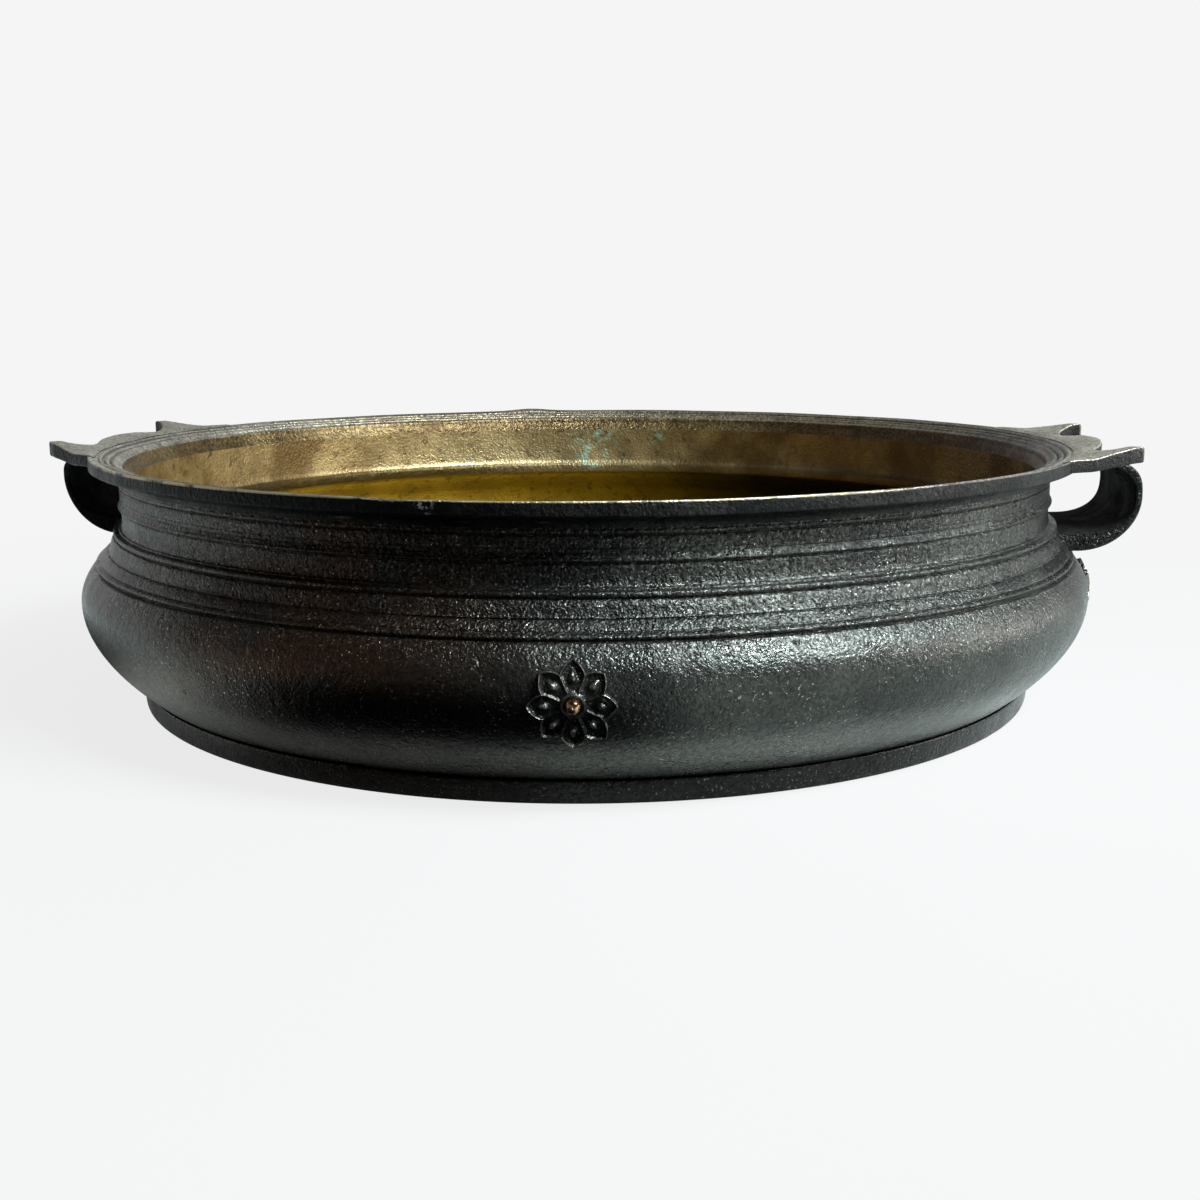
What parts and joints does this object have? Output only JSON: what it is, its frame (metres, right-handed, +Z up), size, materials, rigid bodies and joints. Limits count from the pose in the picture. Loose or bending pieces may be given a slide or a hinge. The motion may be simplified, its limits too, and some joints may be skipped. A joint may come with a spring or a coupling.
{
  "type": "uruli cooking bowl",
  "caption": "Wide shallow cast brass bowl with a grooved neck, flat ridged rim, low foot, two eared strap handles and petal rosettes on the belly.",
  "frame": {"origin": "centre of the foot ring's flat underside, on the bowl's axis", "axes": "+Z up along the bowl's axis, +X towards the right handle, -Y towards the front rosette"},
  "size_m": [0.5503, 0.5197, 0.1232],
  "materials": {
    "aged_brass": "rough cast with a dark brown and grey patina",
    "rim_brass": "turned, grey-tan patina with worn bright edges",
    "worn_brass": "worn smooth and bright"
  },
  "bodies": {
    "root": {"bowl": "aged_brass", "rim_ring": "rim_brass", "foot_ring": "aged_brass", "ear_plate_right": "rim_brass", "ear_plate_left": "rim_brass", "strap_loop_right": "aged_brass", "strap_loop_left": "aged_brass", "rosette_front": "aged_brass", "rosette_right": "aged_brass", "rosette_back": "aged_brass", "rosette_left": "aged_brass", "bead_front": "worn_brass", "bead_right": "worn_brass", "bead_back": "worn_brass", "bead_left": "worn_brass"}
  },
  "joints": []
}
